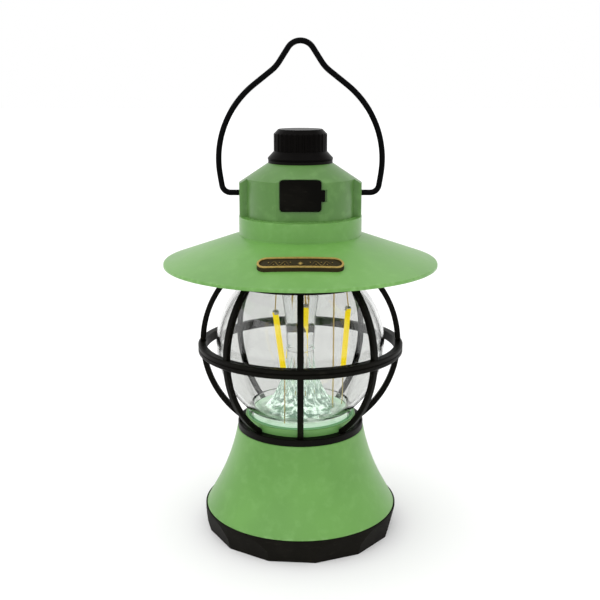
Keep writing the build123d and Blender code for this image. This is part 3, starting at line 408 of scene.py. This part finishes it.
# %% Light finishes
disc_frosted = Finish("frosted_white")
frost = disc_frosted.noise(0.6 * MM, 3.0)
disc_frosted.relief(frost, 0.02 * MM)
streak = disc_frosted.noise(7 * MM, 2.0, (1.0, 1.0, 0.0)).ramp(0.42, 0.60)
disc_glow = disc_frosted.tint(
    disc_frosted.radius().ramp(16 * MM, 27 * MM),
    disc_frosted.tint(streak, rgb(0.24, 0.32, 0.27), rgb(1.00, 1.08, 1.02)),
    rgb(0.66, 0.98, 0.70),
)
disc_frosted.coat(
    base_color=disc_frosted.tint(frost, rgb(0.52, 0.58, 0.54), rgb(0.62, 0.68, 0.64)),
    roughness=0.5 + frost * 0.2,
    emission_color=disc_glow,
    emission_strength=0.80,
)
dress(disc_frosted, "diffuser_disc")

# The white cup and the white tongue of the wide socket glow faintly: a painted glow, since neither is a lamp.
cup_white_glowing = Finish("white_plastic")
cup_cloud = cup_white_glowing.noise(8 * MM)
cup_white_glowing.relief(cup_white_glowing.noise(0.8 * MM), 0.006 * MM)
cup_white_glowing.coat(
    base_color=cup_white_glowing.tint(cup_cloud, rgb(0.80, 0.81, 0.79), rgb(0.88, 0.89, 0.87)),
    roughness=0.28 + cup_cloud * 0.12,
    emission_color=rgb(0.9, 0.95, 0.88),
    emission_strength=0.25,
)
dress(cup_white_glowing, "reflector_cup", "usb_a_insert")

filament_coat = Finish("amber_filament")
chips = (filament_coat.along(AXIS_Z) * (2 * math.pi / (1.6 * MM))).sine() * 0.5 + 0.5
grain = filament_coat.noise(0.5 * MM, 2.0)
filament_coat.relief(chips * 0.6 + grain, 0.03 * MM)
filament_coat.coat(
    base_color=filament_coat.tint(chips * 0.5 + grain * 0.3, rgb(0.90, 0.56, 0.006), rgb(0.96, 0.72, 0.012)),
    roughness=0.42 + grain * 0.1,
    emission_color=filament_coat.tint(chips * 0.6, rgb(1.0, 0.74, 0.002), rgb(1.0, 0.90, 0.012)),
    emission_strength=0.80,
)
dress(filament_coat, "filaments")

warm_chip = Finish("warm_led")
warm_chip.coat(
    base_color=warm_chip.tint(warm_chip.noise(0.8 * MM), rgb(0.90, 0.62, 0.12), rgb(0.95, 0.76, 0.25)),
    roughness=0.4 + warm_chip.noise(0.4 * MM) * 0.1,
    emission_color=rgb(1.0, 0.85, 0.5),
    emission_strength=1.5,
)
dress(warm_chip, "glow_leds")

# %% [markdown]
# ## Bare metals
#
# Screws are zinc plated, the sockets and the dimmer are nickel, and the fine wires are brass. Plated parts differ in
# how far they shine: zinc is cloudy and a little blue, nickel is warm and clear. Each has short drawn lines along
# the way it was turned or stamped.

# %% Metal recipes
def plated(name, dull, bright, roughness, lines):
    """Plated metal: cloudy colour, and drawn lines from noise stretched along one way."""
    finish = Finish(name)
    cloud = finish.noise(2.5 * MM, 3.0)
    drawn = finish.noise(0.35 * MM, 2.0, lines)
    finish.relief(drawn, 0.004 * MM)
    finish.coat(
        base_color=finish.tint(cloud, dull, bright),
        metallic=0.92 + cloud * 0.08,
        roughness=roughness + drawn * 0.14,
    )
    return finish


zinc = plated("zinc_screws", rgb(0.38, 0.40, 0.43), rgb(0.56, 0.58, 0.60), 0.26, (1, 1, 0.2))
nickel = plated("nickel_steel", rgb(0.52, 0.49, 0.44), rgb(0.70, 0.67, 0.61), 0.20, (0.15, 1, 1))
brass = plated("gold_wire", rgb(0.62, 0.42, 0.13), rgb(0.85, 0.66, 0.28), 0.22, (1, 1, 0.1))
dress(zinc, "cover_screws", "tray_screws", "ring_screws", "hat_screws", "neck_screws", "board_screws")
dress(
    nickel,
    *("battery_contacts", "usb_a_shell", "usb_c_shell", "dimmer_body", "dimmer_washer", "dimmer_nut"),
    *("dimmer_shaft", "bail_clips"),
)
dress(brass, "supply_wires", "filament_leads")

# %% [markdown]
# ## Boards, chips and cells
#
# These lie hidden in the neck and the base, and show when the lantern is opened. A board is laminate: the weave of
# the glass cloth is faintly there under the lacquer. The cells wear a shrunk blue sleeve that wrinkles lengthwise.

# %% Hidden finishes
def laminate(name, dark, light):
    """Lacquered board: two crossed sine weaves a millimetre apart under a smooth skin."""
    finish = Finish(name)
    pitch = 2 * math.pi / (1.1 * MM)
    weave = (finish.along(AXIS_X) * pitch).sine() * (finish.along(AXIS_Y) * pitch).sine() * 0.5 + 0.5
    finish.relief(weave, 0.006 * MM)
    finish.coat(
        base_color=finish.tint(weave * 0.4 + finish.noise(4 * MM) * 0.6, dark, light),
        roughness=0.24 + weave * 0.06,
        coat_weight=0.3,
    )
    return finish


dress(laminate("board_green", rgb(0.008, 0.10, 0.035), rgb(0.02, 0.19, 0.07)), "control_board", "protection_board")
dress(laminate("board_white", rgb(0.70, 0.72, 0.70), rgb(0.84, 0.85, 0.83)), "glow_board")
dress(
    moulded_black("black_epoxy", rgb(0.012, 0.012, 0.013), rgb(0.03, 0.03, 0.03), 0.3 * MM, 0.01 * MM, 0.45, 0.2),
    "board_parts",
    "usb_c_insert",
)

sleeve = Finish("cell_wrap")
wrinkle = sleeve.noise(1.6 * MM, 3.0, (0.12, 1, 1))
sleeve.relief(wrinkle, 0.04 * MM)
sleeve.coat(
    base_color=sleeve.tint(sleeve.noise(9 * MM), rgb(0.02, 0.10, 0.34), rgb(0.04, 0.16, 0.46)),
    roughness=0.24 + wrinkle * 0.12,
    coat_weight=0.3,
)
dress(sleeve, "battery_cells")

# %% [markdown]
# ## The badge
#
# The badge is cast bronze, darkened in a bath and then rubbed, so that its raised rim is golden and its sunk field
# stays olive brown. The recipe measures how high a point lies above the sloping hat: height plus radius times the
# slope is the same all over the hat's surface, so what is left over is the lift.

# %% Badge finish
hat_line = shade_low[AXIS_Z] + rim_face + shade_radius * math.tan(hat_slope)
badge_lift = 2.2 * MM
badge_field_lift = 1.5 * MM
bronze = Finish("aged_bronze")
lift = (bronze.along(AXIS_Z) + bronze.radius() * math.tan(hat_slope) - hat_line) * math.cos(hat_slope)
raised = lift.ramp(badge_field_lift + 0.2 * MM, badge_lift - 0.05 * MM)
patina = bronze.noise(1.4 * MM, 4.0)
bath = bronze.noise(0.5 * MM, 3.0)
shine = raised * (0.75 + patina.ramp(0.35, 0.65) * 0.25)
bronze.relief(bath + patina * 0.5, 0.03 * MM)
bronze.coat(
    base_color=bronze.tint(
        shine, bronze.tint(patina, rgb(0.012, 0.009, 0.0012), rgb(0.030, 0.022, 0.0035)), rgb(0.50, 0.35, 0.10)
    ),
    metallic=shine * 0.95,
    roughness=0.52 - shine * 0.20 + bath * 0.1,
    specular_ior_level=0.15,
)
dress(bronze, "nameplate", "nameplate_pins")

# %% [markdown]
# ## Surfaces from two parameters
#
# Every new piece is a grid of points: one parameter runs along it and the other round it. `surface` turns such a
# grid into a closed mesh. The first and last rows may shrink to one point, which closes the piece with a pole. The
# round parameter always wraps, so no seam is left open.

# %% Surface and tube
def surface(name, grids, finish, body="lantern"):
    """A mesh from grids of points, each rows x columns x 3: quads join neighbours, columns wrap, and the two end
    rows are closed by one fan each round their middle."""
    points, faces, first = [], [], 0
    for grid in grids:
        rows, columns = grid.shape[:2]
        index = first + np.arange(rows * columns).reshape(rows, columns)
        low, high = index[:-1], index[1:]
        quads = np.stack([low, np.roll(low, -1, 1), np.roll(high, -1, 1), high], -1).reshape(-1, 4)
        start, end = first + rows * columns, first + rows * columns + 1
        ring, last = index[0], index[-1]
        caps = np.concatenate([
            np.stack([np.full(columns, start), np.roll(ring, -1), ring], -1),
            np.stack([np.full(columns, end), last, np.roll(last, -1)], -1),
        ])
        points += [grid.reshape(-1, 3), grid[0].mean(0)[None], grid[-1].mean(0)[None]]
        faces += quads.tolist() + caps.tolist()
        first += rows * columns + 2
    mesh = bpy.data.meshes.new(name)
    mesh.from_pydata(np.concatenate(points).tolist(), [], faces)
    mesh.shade_smooth()
    mesh.materials.append(finish.material)
    piece = bpy.data.objects.new(name, mesh)
    bpy.context.scene.collection.objects.link(piece)
    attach(piece, body)
    print(name, "faces", len(mesh.polygons))
    return piece


def tube(path, wide, thick, up, sides=12):
    """A tube along a path: at each point an ellipse of half-width wide and half-thickness thick, whose thickness
    points along up. The path runs along the rows, and the angle round it along the columns."""
    path = np.asarray(path, float)
    ahead = np.gradient(path, axis=0)
    ahead /= np.linalg.norm(ahead, axis=1, keepdims=True)
    across = np.cross(ahead, np.broadcast_to(up, path.shape))
    across /= np.linalg.norm(across, axis=1, keepdims=True)
    lifted = np.cross(across, ahead)
    angle = np.linspace(0, 2 * math.pi, sides, endpoint=False)
    wide = np.broadcast_to(wide, len(path))[:, None, None] * np.cos(angle)[None, :, None]
    thick = np.broadcast_to(thick, len(path))[:, None, None] * np.sin(angle)[None, :, None]
    return path[:, None] - across[:, None] * wide + lifted[:, None] * thick


# %% [markdown]
# ## The pleated light guide
#
# The clear piece in the middle is an hourglass of moulded acrylic. Its skirt has pleats that throw the light of the
# disc outwards, it narrows to a waist, and it opens again like a trumpet under the white cup. CAD holds it as a
# twelve-sided loft. Here the radius is a smooth curve of the height, times a pleat wave round the axis. The wave is
# deep and bold in the skirt, fades at the waist, and leaves only a shallow line in the trumpet, which is nearly
# smooth. A bead marks where its two halves are joined.

# %% Light guide
GUIDE_STATIONS = [0.0, 0.03, 0.09, 0.17, 0.25, 0.33, 0.43, 0.58, 0.72, 0.86, 1.0]
GUIDE_RADII = np.array([21.3, 18.6, 15.4, 12.0, 9.5, 7.8, 7.2, 8.0, 8.7, 10.2, 12.5]) * MM
PLEATS = 12


def guide_surface(rows=180, columns=240):
    """radius = curve(height) * (1 - pleat depth * folded wave of twelve), plus a thin bead at the joint."""
    share = np.linspace(0, 1, rows)[:, None]
    angle = np.linspace(0, 2 * math.pi, columns, endpoint=False)[None, :]
    spread = np.linspace(-0.05, 0.05, 11)
    curve = np.mean([np.interp(share + shift, GUIDE_STATIONS, GUIDE_RADII) for shift in spread], axis=0)
    depth = 0.20 * np.clip(1 - share / 0.45, 0, 1) + 0.02 * np.clip((share - 0.45) / 0.5, 0, 1) + 0.015
    folded = np.abs(np.sin(PLEATS * angle / 2)) ** 0.8
    bead = 0.5 * MM * np.exp(-(((share - 0.45) * (guide_high[AXIS_Z] - guide_low[AXIS_Z]) / (0.6 * MM)) ** 2))
    radius = curve * (1 - depth * folded) + bead
    height = guide_low[AXIS_Z] + share * (guide_high[AXIS_Z] - guide_low[AXIS_Z]) + 0 * angle
    return np.stack([radius * np.cos(angle), radius * np.sin(angle), height], -1)


guide_clear = Finish("clear_guide")
flow = guide_clear.noise(5 * MM, 2.0, (1, 1, 0.25))
guide_clear.relief(flow, 0.03 * MM)
# The guide's clear colour turns mint over its lowest 12 mm: painted light from the lit disc and tray below it.
guide_painted_glow = guide_clear.along(AXIS_Z).ramp(guide_low[AXIS_Z] + 12 * MM, guide_low[AXIS_Z])
guide_clear.coat(
    base_color=guide_clear.tint(guide_painted_glow, rgb(0.97, 0.98, 0.98), rgb(0.90, 0.99, 0.93)),
    roughness=0.01 + flow * 0.02,
    transmission_weight=1.0,
    ior=1.49,
)
light_guide_pleated = surface("light_guide_pleated", [guide_surface()], guide_clear)
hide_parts("light_guide")

# %% [markdown]
# ## Caps on the filaments
#
# Each filament ends in a crimped metal cap, where its lead is welded on. A cap is a short tube that closes to a
# pole at both ends. Its path is read from the filament's own solid: the middle of the points near either end.

# %% Filament caps
filament_points = np.array([vertex.co for vertex in nodes["filaments"].data.vertices])


def filament_axes():
    """The two ends of each filament. The points are told apart by the angle round the lantern's axis, and each
    filament's own highest and lowest points are used, because one hangs higher than the others."""
    angle = np.degrees(np.arctan2(filament_points[:, AXIS_Y], filament_points[:, AXIS_X]))
    axes = []
    for middle in (5, 101, -115):
        mine = filament_points[np.abs((angle - middle + 180) % 360 - 180) < 25]
        level = mine[:, AXIS_Z]
        top = mine[level > level.max() - 0.3 * MM].mean(0)
        bottom = mine[level < level.min() + 0.3 * MM].mean(0)
        axes.append((bottom, top))
    return axes


def cap(end, inward):
    """A crimped cap from just beyond the end to 1.8 mm inward: radius rises from a pole, and closes again."""
    step = np.array([-0.5, -0.45, -0.3, 0.0, 1.5, 1.75, 1.8]) * MM
    radius = np.array([0.35, 0.9, 1.35, 1.62, 1.62, 1.58, 1.3]) * MM
    return tube(end + step[:, None] * inward, radius, radius, (0.0, 1.0, 0.0), 20)


cap_grids = []
for bottom, top in filament_axes():
    upward = (top - bottom) / np.linalg.norm(top - bottom)
    cap_grids += [cap(bottom, upward), cap(top, -upward)]
filament_caps = surface("filament_caps", cap_grids, nickel)

# %% [markdown]
# ## The ornament on the badge
#
# The field of the badge carries a plain running vine with beads and a lozenge in the middle, in place of lettering.
# The pieces lie on a cone and follow the badge's bend, so they are laid out flat first, as a distance along the
# badge and a distance across it, and then wrapped: along turns round the bend's centre, and the hat's slope gives
# the height.

# %% Ornament
BADGE_DISTANCE = 52.7 * MM
BADGE_BEND = 120 * MM


def on_badge(along, across, lift):
    """Wraps flat places onto the badge: the angle is along / bend, and height falls with the radius."""
    angle = np.asarray(along) / BADGE_BEND
    reach = BADGE_BEND + np.asarray(across)
    x = reach * np.sin(angle)
    y = BADGE_BEND - BADGE_DISTANCE - reach * np.cos(angle)
    radius = np.hypot(x, y)
    out = 1 + lift * math.sin(hat_slope) / radius
    z = hat_line - radius * math.tan(hat_slope) + lift * math.cos(hat_slope)
    return np.stack([x * out, y * out, z + 0 * x], -1)


hat_normal = np.array([0.0, -math.sin(hat_slope), math.cos(hat_slope)])
ornament = []
for side in (-1, 1):
    run = np.linspace(3.4 * MM, 16.6 * MM, 60)
    wave = 1.7 * MM * np.sin((run - 3.4 * MM) / (13.2 * MM) * 5 * math.pi)
    swell = 0.34 * MM * np.sin(np.linspace(0.06, math.pi - 0.06, 60)) ** 0.4
    ornament.append(tube(on_badge(side * run, wave, badge_field_lift), swell, swell * 1.2, hat_normal, 10))
    for step in range(5):
        along = side * (3.4 + 13.2 * (step + 0.5) / 5) * MM
        across = -0.9 * MM * (-1) ** step
        dome = np.sin(np.linspace(0.08, math.pi - 0.08, 9)) * 0.52 * MM
        ends = along + np.linspace(-0.52, 0.52, 9) * MM
        ornament.append(tube(on_badge(ends, 0 * ends + across, badge_field_lift), dome, dome, hat_normal, 10))
lozenge = np.linspace(-2.4, 2.4, 13) * MM
half = (1 - np.abs(np.linspace(-1, 1, 13))) * 1.9 * MM + 0.08 * MM
ornament.append(tube(on_badge(lozenge, 0 * lozenge, badge_field_lift), half, half * 0.3, hat_normal, 8))
badge_ornament = surface("badge_ornament", ornament, bronze)

# %% [markdown]
# ## Contacts in the sockets
#
# Behind the hinged cover the two sockets show their tongues. The wide one has four gold springs, and the narrow one a
# row of fine ones. Each spring is a flat tube along the tongue, a fraction of a millimetre proud of it.

# %% Socket contacts
usb_a_low, usb_a_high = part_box("usb_a_insert")
usb_c_low, usb_c_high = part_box("usb_c_insert")


def springs(low, count, pitch, wide, reach, level):
    """Evenly spaced flat contacts, centred on the socket, from near the tongue's tip back by reach."""
    grids = []
    for place in (np.arange(count) - (count - 1) / 2) * pitch:
        run = np.linspace(low[AXIS_Y] + 0.4 * MM, low[AXIS_Y] + reach, 8)
        path = np.stack([np.full(8, place), run, np.full(8, level)], -1)
        grids.append(tube(path, wide / 2, 0.09 * MM, (0.0, 0.0, 1.0), 8))
    return grids


usb_a_level = (usb_a_low[AXIS_Z] + usb_a_high[AXIS_Z]) / 2 + 0.2 * MM
usb_c_level = (usb_c_low[AXIS_Z] + usb_c_high[AXIS_Z]) / 2 + 0.35 * MM
contact_grids = springs(usb_a_low, 4, 2.3 * MM, 1.0 * MM, 7 * MM, usb_a_level)
contact_grids += springs(usb_c_low, 12, 0.5 * MM, 0.26 * MM, 3.4 * MM, usb_c_level)
socket_contacts = surface("socket_contacts", contact_grids, brass)
